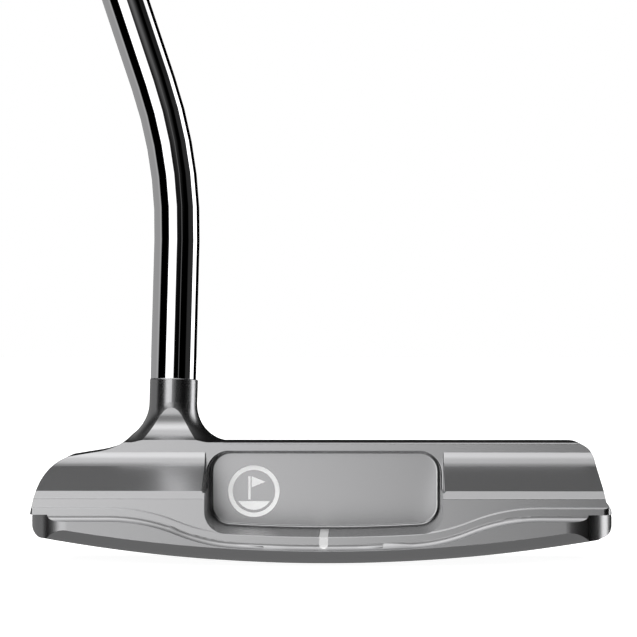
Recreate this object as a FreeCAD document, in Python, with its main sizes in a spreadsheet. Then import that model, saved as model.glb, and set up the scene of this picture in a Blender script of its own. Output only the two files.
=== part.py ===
import FreeCAD, Part
import math
import os

# Blade putter, right-handed, at address.
# +X runs to the toe, +Y to the target (the strike face looks along +Y), +Z is up.
# The origin is on the ground, at the centre of the small flat milled on the sole.
# "setback" is the distance behind the leading edge, so y = face_y - setback.

doc = FreeCAD.newDocument("blade_putter")
sheet = doc.addObject("Spreadsheet::Sheet", "Sizes")

SIZES = [
    # head, in millimetres and degrees
    ("face_y", 10.0),
    ("loft_angle", 3.0),
    ("top_height", 24.1),
    ("rail_depth", 13.0),
    ("block_depth", 25.0),
    ("ribbon_depth", 25.3),
    ("slab_depth", 26.35),
    ("crease_height", 22.1),
    ("scoop_radius", 6.35),
    ("shelf_height", 15.0),
    ("shelf_setback", 23.6),
    ("shelf_round", 0.35),
    ("step_end_height", 9.1),
    ("step_mid_height", 3.4),
    ("step_radius", 36.0),
    ("step_start", 17.5),
    ("ribbon_height", 2.8),
    ("ribbon_bevel", 0.3),
    ("block_lift", 1.3),
    ("cove_radius", 1.25),
    ("camber_radius", 320.0),
    ("sole_radius", 150.0),
    ("slab_toe_end", 57.8),
    ("slab_toe_round", 10.0),
    ("slab_heel_end", 58.6),
    ("slab_heel_round", 7.8),
    ("block_toe_end", 56.8),
    ("block_toe_round", 1.5),
    ("block_heel_end", 58.1),
    ("block_heel_round", 0.5),
    ("pocket_half_width", 23.65),
    ("window_half_width", 24.05),
    ("pocket_floor_depth", 6.0),
    ("pocket_bottom", 6.05),
    ("pocket_corner_radius", 4.3),
    ("pocket_floor_fillet", 0.7),
    ("pocket_rim_round", 0.36),
    ("edge_break", 0.35),
    # neck and its post
    ("neck_x", -31.43),
    ("neck_setback", 3.75),
    ("neck_top", 36.7),
    ("neck_lean_toe", 1.18),
    ("neck_lean_target", 4.5),
    ("collar_radius", 4.97),
    ("collar_round", 0.25),
    ("collar_offset", 0.15),
    ("flare_radius", 7.8),
    ("back_scallop_height", 30.4),
    ("back_scallop_setback", 9.22),
    ("face_scallop_radius", 10.0),
    ("face_scallop_start", 23.5),
    ("post_radius", 4.1),
    ("post_length", 22.0),
    # inlays
    ("sight_width", 1.74),
    ("sight_bottom", 3.7),
    ("badge_x", -14.6),
    ("badge_z", 13.7),
    ("badge_radius", 5.3),
    ("badge_ring_width", 0.9),
    ("inlay_depth", 0.3),
    # shaft
    ("shaft_radius", 4.7),
    ("shaft_wall", 0.5),
    ("bend_height", 82.4),
    ("bend_radius", 95.0),
    ("lie_lean", 18.5),
    ("upper_length", 780.0),
    ("first_step", 117.0),
    ("step_pitch", 38.0),
    ("step_count", 11.0),
    ("step_rise", 0.265),
    ("step_cone", 2.5),
    # grip
    ("grip_length", 265.0),
    ("tape_length", 250.0),
    ("tape_thickness", 0.12),
    ("skin_thickness", 1.4),
    ("cap_thickness", 3.0),
    ("cap_plug_radius", 6.9),
    ("cap_plug_length", 7.0),
    ("vent_radius", 1.6),
]


def fill_sheet():
    for row, (alias, value) in enumerate(SIZES, start=1):
        sheet.set("A%d" % row, alias)
        sheet.set("B%d" % row, repr(value))
        sheet.setAlias("B%d" % row, alias)
    doc.recompute()


def size(alias):
    return float(sheet.get(alias))


def at(x, setback, z):
    return FreeCAD.Vector(x, size("face_y") - setback, z)


def arc(start, middle, end):
    return Part.Arc(start, middle, end).toShape()


def line(start, end):
    return Part.LineSegment(start, end).toShape()


def polygon(points):
    return Part.makePolygon(points + [points[0]])


def solid_between(edges, travel):
    """The solid swept by the face inside closed edges."""
    wire = Part.Wire(Part.__sortEdges__(edges))
    return Part.Face(wire).extrude(travel)


def feature(name, shape):
    made = doc.addObject("Part::Feature", name)
    made.Shape = shape
    return made


def cylinder(name, radius, height, placement):
    """A cylinder whose radius and height are formulas on the sheet."""
    made = doc.addObject("Part::Cylinder", name)
    made.setExpression("Radius", radius)
    made.setExpression("Height", height)
    made.Placement = placement
    return made


def boolean(kind, name, base, tool, placement=FreeCAD.Placement()):
    made = doc.addObject("Part::" + kind, name)
    made.Base = base
    made.Tool = tool
    made.Refine = True
    made.Placement = placement
    return made


WIDE = 70.0  # half length of the stock that a cutter has to clear
HIGH = 75.0


# ---------------------------------------------------------------- head blank


def outline_edges(setback):
    """Front silhouette of the head, seen along the target line."""
    top = size("top_height")
    p = [
        at(-47.0, setback, top),
        at(50.4, setback, top),
        at(54.75, setback, 20.4),
        at(55.8, setback, 13.0),
        at(57.8, setback, 8.6),
        at(55.2, setback, 5.75),
        at(49.0, setback, 3.2),
        at(0.0, setback, -2.0),
        at(-50.0, setback, 4.1),
        at(-56.1, setback, 5.6),
        at(-58.7, setback, 8.6),
        at(-57.1, setback, 15.7),
        at(-51.4, setback, 21.4),
    ]
    return [
        line(p[0], p[1]),
        arc(p[1], at(53.55, setback, 22.85), p[2]),
        line(p[2], p[3]),
        arc(p[3], at(57.15, setback, 10.9), p[4]),
        arc(p[4], at(57.2, setback, 6.75), p[5]),
        line(p[5], p[6]),
        line(p[6], p[7]),
        line(p[7], p[8]),
        line(p[8], p[9]),
        arc(p[9], at(-57.9, setback, 6.8), p[10]),
        line(p[10], p[11]),
        arc(p[11], at(-55.1, setback, 19.4), p[12]),
        line(p[12], p[0]),
    ]


def outline_prism(depth):
    return solid_between(outline_edges(-5.0), FreeCAD.Vector(0, -depth - 5.0, 0))


def step_edges(setback, lift):
    """The S-curve of the step: low and cambered in the middle, level at heel and toe."""
    camber = size("camber_radius")
    radius = size("step_radius")
    start = size("step_start")
    end_z = size("step_end_height")
    start_tilt = math.asin(start / camber)
    start_z = size("step_mid_height") + camber * (1 - math.cos(start_tilt))
    rise = end_z - start_z
    tilt = math.acos((radius * (1 + math.cos(start_tilt)) - rise) / (2 * radius))
    low_centre = (start - radius * math.sin(start_tilt), start_z + radius * math.cos(start_tilt))
    turn_x = low_centre[0] + radius * math.sin(tilt)
    turn_z = low_centre[1] - radius * math.cos(tilt)
    end_x = turn_x + radius * math.sin(tilt)

    def point(x, z, side):
        return at(side * x, setback, z + lift)

    def low(angle, side):
        x = low_centre[0] + radius * math.sin(angle)
        return point(x, low_centre[1] - radius * math.cos(angle), side)

    def high(angle, side):
        x = end_x - radius * math.sin(angle)
        return point(x, end_z - radius * (1 - math.cos(angle)), side)

    middle = point(0, size("step_mid_height"), 1)
    edges = [arc(point(start, start_z, -1), middle, point(start, start_z, 1))]
    for side in (-1, 1):
        turn = point(turn_x, turn_z, side)
        edges.append(arc(point(start, start_z, side), low((start_tilt + tilt) / 2, side), turn))
        edges.append(arc(turn, high(tilt / 2, side), point(end_x, end_z, side)))
        edges.append(line(point(end_x, end_z, side), point(WIDE, end_z, side)))
    return edges


def step_wire(setback, lift):
    edges = step_edges(setback, lift)
    top_z = size("step_end_height") + lift
    left, right = at(-WIDE, setback, top_z), at(WIDE, setback, top_z)
    low_left, low_right = at(-WIDE, setback, -10.0), at(WIDE, setback, -10.0)
    edges += [line(right, low_right), line(low_right, low_left), line(low_left, left)]
    return Part.Wire(Part.__sortEdges__(edges))


def step_stock():
    """Stock below the step: the slab, the bevelled ribbon above it and the cove between them."""
    ribbon_depth = size("ribbon_depth")
    block_depth = size("block_depth")
    lift = size("ribbon_height")
    under_bevel = lift - size("ribbon_bevel")
    back = FreeCAD.Vector(0, -1, 0)
    low = Part.Face(step_wire(-5.0, 0.0)).extrude(back * (size("slab_depth") + 8.0))
    band = Part.Face(step_wire(-5.0, under_bevel)).extrude(back * (ribbon_depth + 5.0))
    front = Part.Face(step_wire(-5.0, lift)).extrude(back * (block_depth + 5.0))
    bevel = Part.makeLoft([step_wire(block_depth, lift), step_wire(ribbon_depth, under_bevel)], True, True)
    whole = low.fuse([band, front, bevel]).removeSplitter()
    seam = [edge.CenterOfMass for edge in step_edges(ribbon_depth, 0.0)]
    corner = []
    for edge in whole.Edges:
        if min((edge.CenterOfMass - place).Length for place in seam) < 1e-3:
            corner.append(edge)
    return whole.makeFillet(size("cove_radius"), corner)


def slab():
    """Rear slab, cut to its own plan outline."""
    depth = size("slab_depth")
    heel_end, heel = size("slab_heel_end"), size("slab_heel_round")
    toe_end, toe = size("slab_toe_end"), size("slab_toe_round")
    plan = plan_prism(depth, heel_end, heel, toe_end, toe)
    return step_stock().common(plan).common(outline_prism(depth))


def plan_prism(rear, heel_end, heel, toe_end, toe):
    """Plan outline with two rounded rear corners; heel and toe are their radii."""
    diagonal = 1 - math.sqrt(0.5)
    z = -5.0
    p = [
        at(-heel_end - 5, -5.0, z),
        at(toe_end + 5, -5.0, z),
        at(toe_end + 5, rear - toe - 6, z),
        at(toe_end, rear - toe, z),
        at(toe_end - toe, rear, z),
        at(heel - heel_end, rear, z),
        at(-heel_end, rear - heel, z),
        at(-heel_end - 5, rear - heel - 6, z),
    ]
    edges = [line(p[0], p[1]), line(p[1], p[2]), line(p[2], p[3])]
    edges.append(arc(p[3], at(toe_end - toe * diagonal, rear - toe * diagonal, z), p[4]))
    edges.append(line(p[4], p[5]))
    edges.append(arc(p[5], at(heel * diagonal - heel_end, rear - heel * diagonal, z), p[6]))
    edges += [line(p[6], p[7]), line(p[7], p[0])]
    return solid_between(edges, FreeCAD.Vector(0, 0, HIGH))


def upper_block():
    """Topline rail with the heel and toe masses; it runs over the slab's rounded corners."""
    depth = size("ribbon_depth")
    heel_end, heel = size("block_heel_end"), size("block_heel_round")
    toe_end, toe = size("block_toe_end"), size("block_toe_round")
    plan = plan_prism(depth, heel_end, heel, toe_end, toe)
    below = Part.Face(step_wire(-6.0, size("block_lift"))).extrude(FreeCAD.Vector(0, -60, 0))
    return outline_prism(depth).common(plan).cut(below)


def scoop_point(angle, centre, radius):
    return at(0, centre[0] - radius * math.cos(angle), centre[1] - radius * math.sin(angle))


def rear_cutter():
    """Everything behind the neck scallop, the rail, the scoop, the ramp and the bevelled shelf."""
    radius = size("scoop_radius")
    rail, block = size("rail_depth"), size("block_depth")
    crease = size("crease_height")
    first = math.radians(26.4)
    last = math.radians(60.0)
    centre = (rail + radius * math.cos(first), crease + radius * math.sin(first))
    near, high = size("back_scallop_setback"), size("back_scallop_height")
    neck_centre = (near + radius, high)
    neck_end = math.acos((near + radius - rail) / radius)
    neck_top = scoop_point(math.radians(-40), neck_centre, radius)
    neck_bottom = scoop_point(neck_end, neck_centre, radius)
    scoop_start = at(0, rail, crease)
    scoop_end = scoop_point(last, centre, radius)
    shelf_x, shelf_z = size("shelf_setback"), size("shelf_height")
    bend = size("shelf_round")
    half_turn = math.radians(22.5)
    reach = bend * math.tan(half_turn)
    slope = reach * math.sqrt(0.5)
    corner_z = shelf_z - (block - shelf_x)
    foot_z = corner_z - reach
    round_start = at(0, block - slope, corner_z + slope)
    round_middle = at(0, block - bend * (1 - math.cos(half_turn)), foot_z + bend * math.sin(half_turn))
    round_end = at(0, block, foot_z)
    low_near, low_far = at(0, block, -10), at(0, block + 20, -10)
    high_far = at(0, block + 20, neck_top.z)
    edges = [
        arc(neck_top, at(0, near, high), neck_bottom),
        line(neck_bottom, scoop_start),
        arc(scoop_start, scoop_point((first + last) / 2, centre, radius), scoop_end),
        line(scoop_end, at(0, shelf_x, shelf_z)),
        line(at(0, shelf_x, shelf_z), round_start),
        arc(round_start, round_middle, round_end),
        line(round_end, low_near),
        line(low_near, low_far),
        line(low_far, high_far),
        line(high_far, neck_top),
    ]
    for edge in edges:
        edge.translate(FreeCAD.Vector(-WIDE, 0, 0))
    return solid_between(edges, FreeCAD.Vector(2 * WIDE, 0, 0))


def face_cutter():
    """Everything ahead of the lofted strike face, with the scallop that carries it up into the neck."""
    slope = math.tan(math.radians(size("loft_angle")))
    radius = size("face_scallop_radius")
    start_z = size("face_scallop_start")
    start = start_z * slope

    def around(degrees):
        angle = math.radians(degrees)
        return at(-WIDE, start - radius + radius * math.cos(angle), start_z + radius * math.sin(angle))

    edges = [
        line(at(-WIDE, -10 * slope, -10), around(0)),
        arc(around(0), around(20), around(40)),
        line(around(40), at(-WIDE, -30, around(40).z)),
        line(at(-WIDE, -30, around(40).z), at(-WIDE, -30, -10)),
        line(at(-WIDE, -30, -10), at(-WIDE, -10 * slope, -10)),
    ]
    return solid_between(edges, FreeCAD.Vector(2 * WIDE, 0, 0))


def sole_envelope():
    """Turned about an axis high above the head: cambered sole, leading-edge bevel and rear bevel."""
    camber = size("camber_radius")
    sole = size("sole_radius")
    flat_at = size("face_y")
    rear = size("slab_depth")

    def under(setback):
        return (setback - flat_at) ** 2 / (2 * sole) - 0.09

    profile = [
        line(at(0, -6, 7.0), at(0, 1.2, under(1.2))),
        arc(at(0, 1.2, under(1.2)), at(0, 12, under(12)), at(0, rear - 1.2, under(rear - 1.2) + 0.2)),
        line(at(0, rear - 1.2, under(rear - 1.2) + 0.2), at(0, rear, 3.25)),
        line(at(0, rear, 3.25), at(0, rear + 6, 13.0)),
        line(at(0, rear + 6, 13.0), at(0, rear + 6, camber)),
        line(at(0, rear + 6, camber), at(0, -6, camber)),
        line(at(0, -6, camber), at(0, -6, 7.0)),
    ]
    face = Part.Face(Part.Wire(Part.__sortEdges__(profile)))
    turned = face.revolve(FreeCAD.Vector(0, 0, camber), FreeCAD.Vector(0, 1, 0), 360)
    above_flat = Part.makeBox(4 * WIDE, 4 * WIDE, HIGH, FreeCAD.Vector(-2 * WIDE, -2 * WIDE, 0))
    return turned.common(above_flat)


# ---------------------------------------------------------------- neck


def neck_axis():
    """A point at the top of the collar and the unit direction of the neck."""
    toe = math.tan(math.radians(size("neck_lean_toe")))
    target = math.tan(math.radians(size("neck_lean_target")))
    direction = FreeCAD.Vector(toe, target, 1.0)
    direction.normalize()
    return at(size("neck_x"), size("neck_setback"), size("neck_top")), direction


def neck():
    """Collar with a rounded rim, the flare below it, and the post that enters the shaft."""
    top, direction = neck_axis()
    radius, flare = size("collar_radius"), size("flare_radius")
    base_z = size("top_height") - 0.15
    collar_top = top + FreeCAD.Vector(size("collar_offset"), 0, 0)

    def ring(degrees):
        angle = math.radians(degrees)
        z = base_z + flare * (1 - math.sin(angle))
        normal = FreeCAD.Vector(0, 0, 1) * (degrees / 80.0) + direction * (1 - degrees / 80.0)
        circle = Part.makeCircle(radius + flare * (1 - math.cos(angle)))
        centre = collar_top - direction * ((top.z - z) / direction.z)
        circle.Placement = FreeCAD.Placement(centre, FreeCAD.Rotation(FreeCAD.Vector(0, 0, 1), normal))
        return Part.Wire([circle])

    trumpet = Part.makeLoft([ring(degrees) for degrees in (0, 16, 32, 48, 64, 80)], True, False)
    foot = Part.Face(ring(80)).extrude(FreeCAD.Vector(0, 0, -4))
    length = (top.z - base_z - flare) / direction.z
    collar = Part.makeCylinder(radius, length, collar_top, direction * -1)
    rim = [e for e in collar.Edges if (e.CenterOfMass - collar_top).Length < 0.1]
    collar = collar.makeFillet(size("collar_round"), rim)
    post, reach = size("post_radius"), size("post_length")
    spigot = Part.makeCylinder(post, reach + 3, top - direction * 3, direction)
    tip = [e for e in spigot.Edges if (e.CenterOfMass - top - direction * reach).Length < 0.1]
    return trumpet.fuse([foot, collar, spigot.makeChamfer(0.8, tip)])


def heel_shoulder_cutter():
    """Heel shoulder: the slope of the heel and its blend up into the flare."""
    curve = Part.BSplineCurve()
    blend = [(-38.6, 27.5), (-39.6, 25.6), (-41.0, 24.15), (-43.2, 22.95), (-46.0, 22.2)]
    curve.interpolate([at(x, -20, z) for x, z in blend])
    edges = [
        curve.toShape(),
        line(at(-46.0, -20, 22.2), at(-60, -20, 19.92)),
        line(at(-60, -20, 19.92), at(-60, -20, 27.5)),
        line(at(-60, -20, 27.5), at(-38.6, -20, 27.5)),
    ]
    return solid_between(edges, FreeCAD.Vector(0, -60, 0))


# ---------------------------------------------------------------- pocket and inlays


def pocket_prism(near, far, grow):
    """Rounded pocket outline, bowed along its lower side like the sole; grow widens it all round."""
    half_width = size("pocket_half_width") + grow
    low = size("pocket_bottom") - grow
    high = size("crease_height") + grow
    r = size("pocket_corner_radius") + grow
    camber = size("camber_radius")
    inner = half_width - r
    low_end = low + inner ** 2 / (2 * camber)
    diagonal = r * (1 - math.sqrt(0.5))
    p = [
        at(-inner, near, low_end),
        at(inner, near, low_end),
        at(half_width, near, low_end + r),
        at(half_width, near, high - r),
        at(inner, near, high),
        at(-inner, near, high),
        at(-half_width, near, high - r),
        at(-half_width, near, low_end + r),
    ]
    edges = [
        arc(p[0], at(0, near, low), p[1]),
        arc(p[1], at(half_width - diagonal, near, low_end + diagonal), p[2]),
        line(p[2], p[3]),
        arc(p[3], at(half_width - diagonal, near, high - diagonal), p[4]),
        line(p[4], p[5]),
        arc(p[5], at(-half_width + diagonal, near, high - diagonal), p[6]),
        line(p[6], p[7]),
        arc(p[7], at(-half_width + diagonal, near, low_end + diagonal), p[0]),
    ]
    return solid_between(edges, FreeCAD.Vector(0, near - far, 0))


def edges_at_setback(shape, setback):
    y = size("face_y") - setback
    return [e for e in shape.Edges if abs(e.BoundBox.YMin - y) < 1e-4 and abs(e.BoundBox.YMax - y) < 1e-4]


def pocket_tool():
    """The pocket, with a filleted floor."""
    floor = size("pocket_floor_depth")
    prism = pocket_prism(floor, 40.0, 0.0)
    return prism.makeFillet(size("pocket_floor_fillet"), edges_at_setback(prism, floor))


def pocket_mouth_tool():
    """Rounds the pocket's rim where it opens through the rail."""
    rail = size("rail_depth")
    wider = size("window_half_width") - size("pocket_half_width")
    stepped = pocket_prism(rail - 2.0, rail + 1.0, 0.0).fuse(pocket_prism(rail, rail + 1.0, wider))
    half = size("pocket_half_width") + 0.01
    low, high = size("pocket_bottom") - 0.01, size("crease_height") + 0.01
    inner = []
    for edge in edges_at_setback(stepped, rail):
        box = edge.BoundBox
        if max(box.XMax, -box.XMin) < half and low < box.ZMin and box.ZMax < high:
            inner.append(edge)
    return stepped.makeFillet(size("pocket_rim_round"), inner).common(window_tool(-3.0))


def window_tool(start):
    """Clears everything behind the rail between the heel and toe masses; start is from the rail's back."""
    half = size("window_half_width")
    corner = at(-half, size("rail_depth") + 40.0, size("pocket_bottom") + 2 * size("pocket_corner_radius"))
    return Part.makeBox(2 * half, 40.0 - start, 20.0, corner)


def edge_round_tool(start_x, end_x, setback, z, radius):
    """Rounds a straight top edge that runs along X at the given setback and height."""
    low = at(start_x, setback + 1.0, z - radius)
    corner = Part.makeBox(end_x - start_x, 1.0 + radius, radius + 1.0, low)
    axis = at(start_x, setback - radius, z - radius)
    return corner.cut(Part.makeCylinder(radius, end_x - start_x, axis, FreeCAD.Vector(1, 0, 0)))


def sight_line_shape(proud):
    """U-shaped sighting groove across the slab; proud lifts its top clear of the metal for cutting."""
    half = size("sight_width") / 2
    bottom = size("sight_bottom")
    top = size("pocket_bottom") - 0.12 + proud
    near = size("pocket_floor_depth") + 1.2
    low_left, low_right = at(-half, near, bottom + half), at(half, near, bottom + half)
    high_left, high_right = at(-half, near, top), at(half, near, top)
    edges = [arc(low_left, at(0, near, bottom), low_right), line(low_right, high_right)]
    edges += [line(high_right, high_left), line(high_left, low_left)]
    return solid_between(edges, FreeCAD.Vector(0, -(size("slab_depth") + 1 - near), 0))


def badge_disc(radius, depth, lift):
    """A disc on the pocket floor, centred on the badge."""
    base = at(size("badge_x"), size("pocket_floor_depth") + lift, size("badge_z"))
    return Part.makeCylinder(radius, depth + lift, base, FreeCAD.Vector(0, 1, 0))


def badge_ring_shape(lift):
    """The ring's groove, lifted clear of the pocket floor for cutting."""
    outer = size("badge_radius")
    inner = outer - size("badge_ring_width")
    depth = size("inlay_depth")
    return badge_disc(outer, depth, lift).cut(badge_disc(inner, depth, lift))


def badge_motif_shapes(lift):
    """A plain pennant on a pin above a strip of ground, as separate fills."""
    cx, cz = size("badge_x"), size("badge_z")
    floor = size("pocket_floor_depth")
    travel = FreeCAD.Vector(0, size("inlay_depth") + lift, 0)

    def plate(points):
        corners = [at(cx + a, floor + lift, cz + b) for a, b in points]
        return Part.Face(polygon(corners)).extrude(travel)

    pin = plate([(-1.15, -1.7), (-0.7, -1.7), (-0.7, 3.1), (-1.15, 3.1)])
    pennant = plate([(-0.45, 3.1), (2.35, 1.95), (-0.45, 0.8)])
    ground_radius = size("badge_radius") - size("badge_ring_width") - 0.55
    ground_disc = badge_disc(ground_radius, size("inlay_depth"), lift)
    band = plate([(-6, -5), (6, -5), (6, -2.05), (-6, -2.05)])
    return [pin, pennant, ground_disc.common(band)]


def putter_head_blank():
    """The whole head with its post, before the sighting line and the badge are let in."""
    body = upper_block().fuse([slab(), neck()])
    body = body.cut([face_cutter(), heel_shoulder_cutter()])
    body = body.cut(upper_rear_cutter())
    break_ = size("edge_break")
    topline = edge_round_tool(-20.5, WIDE, size("rail_depth"), size("top_height"), break_)
    body = body.cut([window_tool(0.0), pocket_tool(), pocket_mouth_tool(), topline])
    body = body.common(sole_envelope()).removeSplitter()
    return body.makeFillet(size("edge_break") * 0.7, window_side_edges(body))


def window_side_edges(body):
    """The curved and sloping edges where the heel and toe masses end at the window."""
    half, rail = size("window_half_width"), size("face_y") - size("rail_depth")
    found = []
    for edge in body.Edges:
        ends = [vertex.Point for vertex in edge.Vertexes]
        at_side = all(abs(abs(end.x) - half) < 1e-3 for end in ends)
        lowest = min(end.z for end in ends)
        deepest = min(end.y for end in ends)
        if at_side and lowest > size("shelf_height") - 0.01 and deepest < rail - 0.5:
            found.append(edge)
    return found


def upper_rear_cutter():
    """The rear cutter, kept off the slab and the ribbon."""
    return rear_cutter().cut(step_stock())


# ---------------------------------------------------------------- shaft


def shaft_path():
    """Lower line, bend and upper line of the shaft's centreline."""
    top, low_direction = neck_axis()
    run = (size("bend_height") - top.z) / low_direction.z
    vertex = top + low_direction * run
    lean = math.radians(size("lie_lean"))
    high_direction = FreeCAD.Vector(-math.sin(lean), 0, math.cos(lean))
    turn = low_direction.getAngle(high_direction)
    tangent = size("bend_radius") * math.tan(turn / 2)
    start = vertex - low_direction * tangent
    end = vertex + high_direction * tangent
    inward = high_direction - low_direction
    inward.normalize()
    to_centre = size("bend_radius") / math.cos(turn / 2)
    middle = vertex + inward * (to_centre - size("bend_radius"))
    return top, start, middle, end, high_direction, vertex


def bent_rod(radius):
    top, start, middle, end, direction, vertex = shaft_path()
    reach = end + direction * size("first_step")
    path = Part.Wire([line(top, start), arc(start, middle, end), line(end, reach)])
    lower = start - top
    circle = Part.Circle(top, lower, radius).toShape()
    return Part.Wire(path).makePipeShell([Part.Wire([circle])], True, False)


def upper_profile(inset):
    """Stepped half-profile of the upper shaft, along its own axis, starting at the first step."""
    radius = size("shaft_radius") - inset
    along = 0.0
    points = [(0.0, 0.0), (radius, 0.0)]
    for _ in range(int(size("step_count"))):
        points.append((radius, along))
        radius += size("step_rise")
        points.append((radius, along + size("step_cone")))
        along += size("step_pitch")
    _, _, _, end, _, vertex = shaft_path()
    length = size("upper_length") - (end - vertex).Length - size("first_step")
    points += [(radius, length), (0.0, length)]
    return points[:1] + points[2:], length


def upper_rod(inset):
    points, _ = upper_profile(inset)
    _, _, _, end, direction, _ = shaft_path()
    base = end + direction * size("first_step")
    outline = polygon([FreeCAD.Vector(r, 0, along) for r, along in points])
    turned = Part.Face(outline).revolve(FreeCAD.Vector(), FreeCAD.Vector(0, 0, 1), 360)
    turned.Placement = FreeCAD.Placement(base, FreeCAD.Rotation(FreeCAD.Vector(0, 0, 1), direction))
    return turned


def shaft_rods():
    """Solid rods of the shaft's outside and of its bore."""
    wall = size("shaft_wall")
    outside = bent_rod(size("shaft_radius")).fuse(upper_rod(0.0))
    inside = bent_rod(size("shaft_radius") - wall).fuse(upper_rod(wall))
    return outside, inside


# ---------------------------------------------------------------- grip


def grip_placement():
    """Grip frame: origin at the butt, +Z towards the head, -X out of the flat thumb side."""
    _, _, _, _, direction, vertex = shaft_path()
    butt = vertex + direction * size("upper_length")
    lean = size("lie_lean")
    turn = FreeCAD.Rotation(FreeCAD.Vector(0, 1, 0), 180 - lean)
    return FreeCAD.Placement(butt, turn)


# Along the grip: distance from the butt, half width, flat side, far side.
GRIP_SECTIONS = [
    (0.0, 13.6, 11.6, 17.6),
    (14.0, 13.7, 11.7, 17.8),
    (40.0, 12.9, 11.2, 14.6),
    (75.0, 12.2, 10.9, 12.3),
    (130.0, 11.5, 10.5, 11.5),
    (200.0, 10.6, 10.0, 10.6),
    (265.0, 9.7, 9.7, 9.7),
]


def grip_wire(along, half, flat, far, inset):
    """A D-shaped ring: a gently crowned thumb side, and one smooth curve round the palm side."""
    half, flat, far = half - inset, flat - inset, far - inset
    share = 0.62
    left = FreeCAD.Vector(-flat, half * share, along)
    right = FreeCAD.Vector(-flat, -half * share, along)
    crown = arc(right, FreeCAD.Vector(-flat - 0.25, 0, along), left)
    palm = Part.BSplineCurve()
    palm.interpolate(
        [
            left,
            FreeCAD.Vector(-flat * 0.45, half * 0.97, along),
            FreeCAD.Vector(far * 0.25, half * 0.95, along),
            FreeCAD.Vector(far * 0.8, half * 0.56, along),
            FreeCAD.Vector(far, 0, along),
            FreeCAD.Vector(far * 0.8, -half * 0.56, along),
            FreeCAD.Vector(far * 0.25, -half * 0.95, along),
            FreeCAD.Vector(-flat * 0.45, -half * 0.97, along),
            right,
        ]
    )
    return Part.Wire([crown, palm.toShape()])


def grip_body(inset):
    wires = [grip_wire(*section, inset) for section in GRIP_SECTIONS]
    return Part.makeLoft(wires, True, False)


def grip_cap_plate():
    """The cap's end plate: the grip's own outline, with a rounded rim."""
    thickness = size("cap_thickness")
    plate = Part.Face(grip_wire(*GRIP_SECTIONS[0], 0.0)).extrude(FreeCAD.Vector(0, 0, -thickness))
    rim = [e for e in plate.Edges if abs(e.BoundBox.ZMax + thickness) < 1e-3]
    return plate.makeFillet(1.2, rim)


# ---------------------------------------------------------------- sub-parts

SUB_PARTS = (
    "putter_head",
    "sight_line_fill",
    "badge_ring",
    "badge_pennant",
    "hosel_epoxy",
    "shaft",
    "grip_skin",
    "grip_underlisting",
    "grip_tape",
    "grip_cap",
)
BUTT_RADIUS = "Sizes.shaft_radius + Sizes.step_count * Sizes.step_rise"
HERE = FreeCAD.Placement()


def build_head():
    blank = feature("head_blank", putter_head_blank())
    grooves = [sight_line_shape(1.0), badge_ring_shape(0.5)] + badge_motif_shapes(0.5)
    engraving = doc.addObject("Part::Compound", "engraving")
    engraving.Links = [feature("groove_%d" % index, groove) for index, groove in enumerate(grooves)]
    boolean("Cut", "putter_head", blank, engraving)
    boolean("Common", "sight_line_fill", feature("sight_line_bar", sight_line_shape(0.0)), blank)

    along_target = FreeCAD.Rotation(FreeCAD.Vector(0, 0, 1), FreeCAD.Vector(0, 1, 0))
    badge_centre = at(size("badge_x"), size("pocket_floor_depth"), size("badge_z"))
    place = FreeCAD.Placement(badge_centre, along_target)
    inner_radius = "Sizes.badge_radius - Sizes.badge_ring_width"
    outer = cylinder("ring_outside", "Sizes.badge_radius", "Sizes.inlay_depth", HERE)
    inner = cylinder("ring_inside", inner_radius, "Sizes.inlay_depth", HERE)
    boolean("Cut", "badge_ring", outer, inner, place)
    pennant = doc.addObject("Part::Compound", "badge_pennant")
    fills = badge_motif_shapes(0.0)
    pennant.Links = [feature("motif_%d" % index, fill) for index, fill in enumerate(fills)]


def build_shaft():
    outside, inside = shaft_rods()
    boolean("Cut", "shaft", feature("shaft_outside", outside), feature("shaft_inside", inside))
    top, direction = neck_axis()
    place = FreeCAD.Placement(top, FreeCAD.Rotation(FreeCAD.Vector(0, 0, 1), direction))
    bore = cylinder("tip_bore", "Sizes.shaft_radius - Sizes.shaft_wall", "Sizes.post_length", place)
    boolean("Cut", "hosel_epoxy", bore, doc.getObject("putter_head"))


def build_grip():
    place = grip_placement()
    outside = feature("grip_outside", grip_body(0.0))
    under_skin = feature("grip_under_skin", grip_body(size("skin_thickness")))
    boolean("Cut", "grip_skin", outside, under_skin, place)

    taped = BUTT_RADIUS + " + Sizes.tape_thickness"
    start = FreeCAD.Placement(FreeCAD.Vector(0, 0, -1), FreeCAD.Rotation())
    bore = cylinder("grip_bore", taped, "Sizes.grip_length + 2", start)
    core = feature("grip_core", grip_body(size("skin_thickness")))
    boolean("Cut", "grip_underlisting", core, bore, place)

    tape_outside = cylinder("tape_outside", taped, "Sizes.tape_length", HERE)
    tape_inside = cylinder("tape_inside", BUTT_RADIUS, "Sizes.tape_length", HERE)
    boolean("Cut", "grip_tape", tape_outside, tape_inside, place)

    plug = cylinder("cap_plug", "Sizes.cap_plug_radius", "Sizes.cap_plug_length", HERE)
    vent_start = FreeCAD.Placement(FreeCAD.Vector(0, 0, -15), FreeCAD.Rotation())
    vent = cylinder("cap_vent", "Sizes.vent_radius", "Sizes.cap_plug_length + 20", vent_start)
    whole = boolean("Fuse", "cap_whole", feature("cap_plate", grip_cap_plate()), plug)
    boolean("Cut", "grip_cap", whole, vent, place)


def check_and_write():
    doc.recompute()
    os.makedirs("parts", exist_ok=True)
    for item in doc.Objects:
        if "Invalid" in item.State or "Error" in item.State:
            raise RuntimeError("failed: " + item.Label)
    for name in SUB_PARTS:
        item = doc.getObject(name)
        shape = item.Shape
        if shape.isNull() or not shape.isValid():
            raise RuntimeError("bad shape: " + item.Label)
        shape.exportStep("parts/%s.step" % item.Label)
        print("%-18s solids %d volume %.1f" % (item.Label, len(shape.Solids), shape.Volume))


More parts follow.
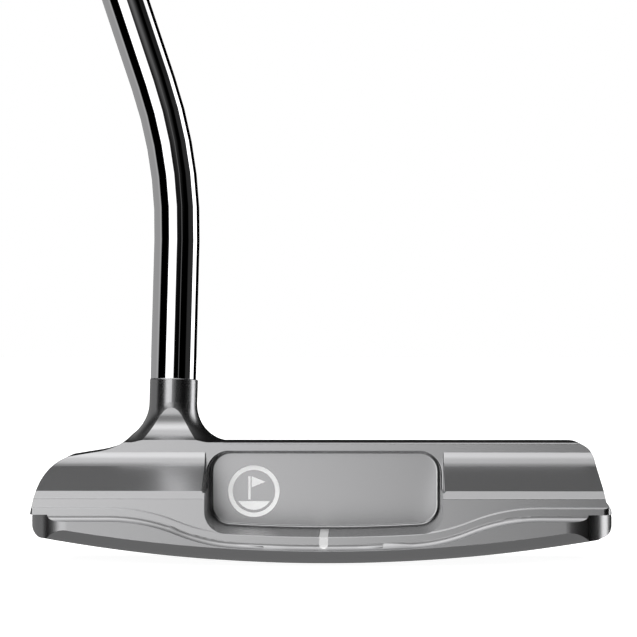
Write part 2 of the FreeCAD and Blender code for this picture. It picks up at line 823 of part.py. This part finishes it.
fill_sheet()
build_head()
build_shaft()
build_grip()
check_and_write()
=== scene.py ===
import math

import bpy
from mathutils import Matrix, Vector
from mathutils.bvhtree import BVHTree


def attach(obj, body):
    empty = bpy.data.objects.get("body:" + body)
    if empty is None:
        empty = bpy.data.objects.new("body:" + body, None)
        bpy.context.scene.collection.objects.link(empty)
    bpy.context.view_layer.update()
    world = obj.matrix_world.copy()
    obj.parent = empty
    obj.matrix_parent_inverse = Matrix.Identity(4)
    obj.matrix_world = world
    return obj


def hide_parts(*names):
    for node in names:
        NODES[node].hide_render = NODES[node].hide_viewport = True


# A blade putter at address, in the CAD frame: +X to the toe, +Y to the target, +Z up, metres.

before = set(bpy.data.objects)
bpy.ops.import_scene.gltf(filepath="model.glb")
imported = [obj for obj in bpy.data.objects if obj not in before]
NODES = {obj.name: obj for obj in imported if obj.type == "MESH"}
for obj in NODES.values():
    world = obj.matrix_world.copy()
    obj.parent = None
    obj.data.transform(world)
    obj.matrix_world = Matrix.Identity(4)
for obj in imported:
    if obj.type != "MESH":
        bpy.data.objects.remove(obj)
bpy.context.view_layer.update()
MM = 0.001

CAMERA_PLACE = (5.4 * MM, -463.0 * MM, 47.6 * MM)
CAMERA_TURN = (90.21, 0.0, 0.82)
CAMERA_LENS = 128.0

FLOOR_SIZE = 6.0


# ---------------------------------------------------------------- shader building


class Graph:
    """Short calls for building a node tree."""

    def __init__(self, tree):
        self.tree = tree
        self.tree.nodes.clear()

    def node(self, kind, inputs=None, **settings):
        made = self.tree.nodes.new(kind)
        for name, value in settings.items():
            setattr(made, name, value)
        for name, value in (inputs or {}).items():
            self.feed(made.inputs[name], value)
        return made

    def mix(self, factor, first, second):
        made = self.node("ShaderNodeMix", {"Factor": factor, "A": first, "B": second})
        return made.outputs["Result"]

    def feed(self, socket, value):
        if isinstance(value, bpy.types.NodeSocket):
            self.tree.links.new(value, socket)
        else:
            socket.default_value = value

    def calc(self, operation, *values):
        made = self.node("ShaderNodeMath", operation=operation)
        for socket, value in zip(made.inputs, values):
            self.feed(socket, value)
        return made.outputs[0]

    def ramp(self, factor, stops):
        """Straight-line interpolation of grey levels over a factor from 0 to 1."""
        made = self.node("ShaderNodeValToRGB", {"Fac": factor})
        elements = made.color_ramp.elements
        while len(elements) > 1:
            elements.remove(elements[-1])
        for index, (place, level) in enumerate(stops):
            element = elements[0] if index == 0 else elements.new(place)
            element.position = place
            element.color = (level, level, level, 1.0)
        return made.outputs["Color"]

    def smooth(self, value, low, high, start=0.0, end=1.0):
        made = self.node("ShaderNodeMapRange", interpolation_type="SMOOTHSTEP")
        for name, setting in (
            ("Value", value),
            ("From Min", low),
            ("From Max", high),
            ("To Min", start),
            ("To Max", end),
        ):
            self.feed(made.inputs[name], setting)
        return made.outputs["Result"]


def degrees_ramp(graph, angle, stops, top):
    """A ramp over an angle in radians from -180 to 180 degrees; levels are shares of top."""
    turn = graph.calc("ADD", graph.calc("DIVIDE", angle, 2 * math.pi), 0.5)
    level = graph.ramp(turn, [((degrees + 180.0) / 360.0, value / top) for degrees, value in stops])
    return graph.calc("MULTIPLY", level, top)


# ---------------------------------------------------------------- studio

# Brightness of the studio seen in the metal. Angles in degrees, level as radiance.
# Around the horizon, from the side that faces the camera (0), heel negative, toe positive.
FRONT_STRIP = [
    (-180, 0),
    (-37, 0),
    (-34, 2.3),
    (-15, 2.0),
    (-8, 1.5),
    (2.5, 1.45),
    (5.5, 0),
    (28, 0),
    (30, 0.2),
    (32, 0),
    (180, 0),
]
SIDE_WALLS = [
    (-180, 0.0),
    (-168, 0.0),
    (-160, 0.34),
    (-96, 0.34),
    (-84, 0.46),
    (-79, 0.0),
    (64, 0.0),
    (70, 0.028),
    (94, 0.028),
    (98, 0.0),
    (100, 2.2),
    (124, 2.2),
    (128, 0.0),
    (180, 0.0),
]
# Over the top, from the camera side's horizon (0) through the zenith (90) to the far side (180).
OVERHEAD = [
    (-180, 0),
    (0, 0.0),
    (12, 0.05),
    (20, 0.38),
    (38, 0.5),
    (52, 2.1),
    (66, 2.5),
    (78, 1.3),
    (92, 1.7),
    (102, 1.1),
    (113, 0.28),
    (126, 0.10),
    (142, 0.0),
    (180, 0),
]
BRIGHTEST = 3.0
BELOW = 0.38


def studio_world():
    world = bpy.data.worlds.new("studio")
    bpy.context.scene.world = world
    world.use_nodes = True
    g = Graph(world.node_tree)
    direction = g.node("ShaderNodeTexCoord").outputs["Generated"]
    parts = g.node("ShaderNodeSeparateXYZ", {"Vector": direction}).outputs
    towards = g.calc("MULTIPLY", parts["Y"], -1.0)
    azimuth = g.calc("ARCTAN2", parts["X"], towards)
    over = g.calc("ARCTAN2", parts["Z"], towards)
    height = parts["Z"]
    strip = degrees_ramp(g, azimuth, FRONT_STRIP, BRIGHTEST)
    strip = g.calc("MULTIPLY", strip, g.smooth(height, 0.20, 0.34, 1.0, 0.0))
    walls = degrees_ramp(g, azimuth, SIDE_WALLS, BRIGHTEST)
    walls = g.calc("MULTIPLY", walls, g.smooth(height, 0.34, 0.60, 1.0, 0.0))
    around = g.calc("ADD", strip, walls)
    around = g.calc("MULTIPLY", around, g.smooth(height, -0.45, -0.25, 0.0, 1.0))
    sky = degrees_ramp(g, over, OVERHEAD, BRIGHTEST)
    sky = g.calc("MULTIPLY", sky, g.smooth(g.calc("ABSOLUTE", parts["X"]), 0.30, 0.75, 1.0, 0.0))
    sky = g.calc("MULTIPLY", sky, g.smooth(height, 0.10, 0.34))
    sky = g.calc("MULTIPLY", sky, g.calc("SUBTRACT", 0.84, g.calc("MULTIPLY", parts["X"], 0.9)))
    ground = g.calc("MULTIPLY", g.smooth(height, -0.80, -0.50, 1.0, 0.0), BELOW)
    level = g.calc("ADD", g.calc("ADD", around, sky), ground)
    seen = g.node("ShaderNodeLightPath").outputs["Is Camera Ray"]
    shown = g.mix(seen, level, 1.0)
    back = g.node("ShaderNodeBackground", {"Color": shown, "Strength": 1.0})
    g.node("ShaderNodeOutputWorld", {"Surface": back.outputs[0]})


def add_floor():
    half = FLOOR_SIZE / 2
    mesh = bpy.data.meshes.new("floor")
    corners = [(-half, -half, 0), (half, -half, 0), (half, half, 0), (-half, half, 0)]
    mesh.from_pydata(corners, [], [(0, 1, 2, 3)])
    floor = bpy.data.objects.new("floor", mesh)
    bpy.context.scene.collection.objects.link(floor)
    floor.visible_glossy = False
    material = bpy.data.materials.new("pale_floor")
    material.use_nodes = True
    g = Graph(material.node_tree)
    shader = g.node(
        "ShaderNodeBsdfPrincipled",
        {
            "Base Color": (0.5, 0.5, 0.5, 1),
            "Roughness": 0.9,
            "Specular IOR Level": 0.1,
            "Emission Color": (1, 1, 1, 1),
            "Emission Strength": 0.92,
        },
    )
    g.node("ShaderNodeOutputMaterial", {"Surface": shader.outputs[0]})
    mesh.materials.append(material)


def add_light(name, place, aim, size, power):
    data = bpy.data.lights.new(name, "AREA")
    data.shape = "DISK"
    data.size = size
    data.energy = power
    lamp = bpy.data.objects.new(name, data)
    bpy.context.scene.collection.objects.link(lamp)
    lamp.location = place
    lamp.rotation_euler = (Vector(aim) - Vector(place)).to_track_quat("-Z", "Y").to_euler()
    lamp.visible_glossy = False


def add_camera():
    data = bpy.data.cameras.new("camera")
    data.sensor_width = 36.0
    data.lens = CAMERA_LENS
    data.clip_start = 0.01
    camera = bpy.data.objects.new("camera", data)
    bpy.context.scene.collection.objects.link(camera)
    camera.location = CAMERA_PLACE
    camera.rotation_euler = [math.radians(angle) for angle in CAMERA_TURN]
    bpy.context.scene.camera = camera


# ---------------------------------------------------------------- materials


def material(name, colour, roughness, metallic=0.0, **more):
    made = bpy.data.materials.new(name)
    made.use_nodes = True
    g = Graph(made.node_tree)
    inputs = {"Base Color": (*colour, 1.0), "Roughness": roughness, "Metallic": metallic}
    inputs.update(more)
    shader = g.node("ShaderNodeBsdfPrincipled", inputs)
    g.node("ShaderNodeOutputMaterial", {"Surface": shader.outputs[0]})
    return made, g, shader


def stretched_noise(g, place, stretch, detail=2.0):
    """Noise whose grain is as fine along each axis as stretch says, in grains per metre."""
    scaled = g.node("ShaderNodeMapping", {"Vector": place, "Scale": stretch}).outputs[0]
    settings = {"Vector": scaled, "Scale": 1.0, "Detail": detail, "Roughness": 0.6}
    return g.node("ShaderNodeTexNoise", settings).outputs["Fac"]


# Along Y, where the sand-finished slab and the strike face take over from the milled steel.
SLAB_STARTS = (-15.6 * MM, -15.2 * MM)
FACE_STARTS = (7.6 * MM, 7.9 * MM)
ARC_CENTRE_DROP = 45.0 * MM
MILLED_ROUGHNESS = 0.27
SLAB_ROUGHNESS = 0.36


def milled_steel():
    made, g, shader = material("milled_steel", (0.385, 0.385, 0.39), MILLED_ROUGHNESS, 1.0)
    place = g.node("ShaderNodeTexCoord").outputs["Object"]
    parts = g.node("ShaderNodeSeparateXYZ", {"Vector": place}).outputs
    lines = stretched_noise(g, place, (300.0, 9000.0, 9000.0))
    sand = stretched_noise(g, place, (5200.0, 5200.0, 5200.0), 3.0)
    on_slab = g.smooth(parts["Y"], *SLAB_STARTS, 1.0, 0.0)
    grain = g.mix(on_slab, lines, sand)
    on_face = g.smooth(parts["Y"], *FACE_STARTS)
    flat = {"Vector": place, "Location": (0.0, 0.0, ARC_CENTRE_DROP), "Scale": (1, 0, 1)}
    flattened = g.node("ShaderNodeMapping", flat).outputs[0]
    arcs = g.node(
        "ShaderNodeTexWave",
        {"Vector": flattened, "Scale": 260.0, "Distortion": 0.0},
        wave_type="RINGS",
        rings_direction="SPHERICAL",
    ).outputs["Fac"]
    height = g.mix(on_face, grain, arcs)
    strength = g.mix(on_slab, 0.10, 0.26)
    bump = g.node("ShaderNodeBump", {"Height": height, "Strength": strength, "Distance": 0.02 * MM})
    g.feed(shader.inputs["Normal"], bump.outputs[0])
    g.feed(shader.inputs["Roughness"], g.mix(on_slab, MILLED_ROUGHNESS, SLAB_ROUGHNESS))
    return made


def chrome():
    made, _, _ = material("shaft_chrome", (0.84, 0.84, 0.85), 0.03, 1.0)
    return made


def enamel(name, colour):
    made, _, _ = material(name, colour, 0.35)
    return made


def rubber(name, colour, roughness):
    made, g, shader = material(name, colour, roughness)
    place = g.node("ShaderNodeTexCoord").outputs["Object"]
    grain = stretched_noise(g, place, (2600.0, 2600.0, 2600.0))
    bump = g.node("ShaderNodeBump", {"Height": grain, "Strength": 0.25, "Distance": 0.05 * MM})
    g.feed(shader.inputs["Normal"], bump.outputs[0])
    return made


def fabric(name, colour):
    made, _, _ = material(name, colour, 0.8)
    return made


FINISHES = {
    "putter_head": milled_steel,
    "shaft": chrome,
    "sight_line_fill": lambda: enamel("sight_paint", (0.36, 0.36, 0.36)),
    "badge_ring": lambda: enamel("badge_silver", (0.80, 0.80, 0.80)),
    "badge_pennant": lambda: enamel("badge_white", (0.82, 0.82, 0.82)),
    "hosel_epoxy": lambda: enamel("epoxy", (0.35, 0.30, 0.18)),
    "grip_underlisting": lambda: fabric("underlisting", (0.05, 0.05, 0.05)),
    "grip_tape": lambda: fabric("tape", (0.75, 0.72, 0.64)),
    "grip_cap": lambda: rubber("grip_cap", (0.020, 0.020, 0.022), 0.55),
}


# ---------------------------------------------------------------- grip

# Millimetres, unless a line says otherwise.
GRIP_LENGTH = 265.0
GRIP_LEAN = 18.5
SHAFT_TOP = Vector((-277.99, 9.85, 822.09))
WALL = 1.2
INSET = 0.02  # keeps the skin just inside the CAD outline
PLAIN_BUTT = 8.0
PLAIN_TIP = 6.0
RIB_PITCH = 4.4
RIB_DEPTH = 0.42
RIB_EDGE = math.radians(62)
RIB_FADE = math.radians(8)
THUMB_EDGE = math.radians(30)
DIMPLE_PITCH = 7.0
DIMPLE_TURN = 12.0  # degrees between the dimples of a row
DIMPLE_GAP = 2.4
DIMPLE_RADIUS = 1.3
DIMPLE_DEPTH = 0.28
DIMPLES_START = 22.0
DIMPLES_END = 20.0
AROUND = 144
ROWS = 300
REACH = 50.0 * MM  # well outside the grip, where each ray starts


def grip_axes():
    """Butt of the grip, its direction towards the head, out of the thumb side, and across."""
    lean = math.radians(GRIP_LEAN)
    along = Vector((math.sin(lean), 0.0, -math.cos(lean)))
    thumb = Vector((math.cos(lean), 0.0, math.sin(lean)))
    return SHAFT_TOP * MM, along, thumb, Vector((0.0, 1.0, 0.0))


def pattern_depth(along, angle):
    """Depth in mm pressed into the rubber: ribs on the palm side, dimples on the thumb side."""
    if along < PLAIN_BUTT or along > GRIP_LENGTH - PLAIN_TIP:
        return 0.0
    off_thumb = abs(angle)
    if off_thumb > RIB_EDGE:
        edge = min(1.0, (off_thumb - RIB_EDGE) / RIB_FADE)
        wave = 0.5 - 0.5 * math.cos(2 * math.pi * along / RIB_PITCH)
        return RIB_DEPTH * edge * wave ** 2
    if off_thumb < THUMB_EDGE and DIMPLES_START < along < GRIP_LENGTH - DIMPLES_END:
        row = along / DIMPLE_PITCH
        side = math.degrees(angle) / DIMPLE_TURN + 0.5 * (math.floor(row) % 2)
        down = (row - math.floor(row) - 0.5) * DIMPLE_PITCH
        sideways = (side - math.floor(side) - 0.5) * DIMPLE_GAP
        away = math.hypot(down, sideways)
        return DIMPLE_DEPTH * max(0.0, 1.0 - (away / DIMPLE_RADIUS) ** 2)
    return 0.0


def grip_skin():
    """The rubber skin with its pressed pattern, wrapped on the CAD skin's own outer surface."""
    butt, along, thumb, across = grip_axes()
    source = NODES["grip_skin"]
    place = source.matrix_world
    tree = BVHTree.FromPolygons(
        [place @ vertex.co for vertex in source.data.vertices],
        [tuple(polygon.vertices) for polygon in source.data.polygons],
    )
    outer, inner = [], []
    for row in range(ROWS + 1):
        reach = min(max(GRIP_LENGTH * row / ROWS, 0.05), GRIP_LENGTH - 0.05)
        centre = butt + along * (reach * MM)
        for step in range(AROUND):
            angle = 2 * math.pi * step / AROUND
            angle = angle - 2 * math.pi if angle > math.pi else angle
            ray = thumb * math.cos(angle) + across * math.sin(angle)
            hit = tree.ray_cast(centre + ray * REACH, -ray, REACH)[0]
            radius = (hit - centre).length - INSET * MM
            outer.append(centre + ray * (radius - pattern_depth(reach, angle) * MM))
            inner.append(centre + ray * (radius - WALL * MM))
    count = len(outer)
    faces = []
    for row in range(ROWS):
        for step in range(AROUND):
            a = row * AROUND + step
            b = row * AROUND + (step + 1) % AROUND
            c, d = b + AROUND, a + AROUND
            faces.append((a, b, c, d))
            faces.append((d + count, c + count, b + count, a + count))
    for step in range(AROUND):
        following = (step + 1) % AROUND
        faces.append((following, step, step + count, following + count))
        here, there = ROWS * AROUND + step, ROWS * AROUND + following
        faces.append((here, there, there + count, here + count))
    mesh = bpy.data.meshes.new("grip_rubber")
    mesh.from_pydata(outer + inner, [], faces)
    mesh.update()
    mesh.shade_smooth()
    mesh.materials.append(rubber("grip_rubber", (0.022, 0.022, 0.024), 0.52))
    skin = bpy.data.objects.new("grip_rubber", mesh)
    bpy.context.scene.collection.objects.link(skin)
    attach(skin, "root")
    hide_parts("grip_skin")


def finish_nodes():
    """Give each carried-over CAD node its own material."""
    for name, make in FINISHES.items():
        mesh = NODES[name].data
        finish = make()
        for index in range(max(1, len(mesh.materials))):
            if index < len(mesh.materials):
                mesh.materials[index] = finish
            else:
                mesh.materials.append(finish)


# ---------------------------------------------------------------- run

bpy.context.scene.view_settings.view_transform = "Standard"
studio_world()
add_floor()
add_light("overhead", (0.2, -0.5, 1.6), (0, 0, 0.02), 1.6, 38.0)
add_light("front", (-0.3, -2.2, 0.9), (0, 0, 0.02), 1.2, 30.0)
add_camera()
grip_skin()
finish_nodes()
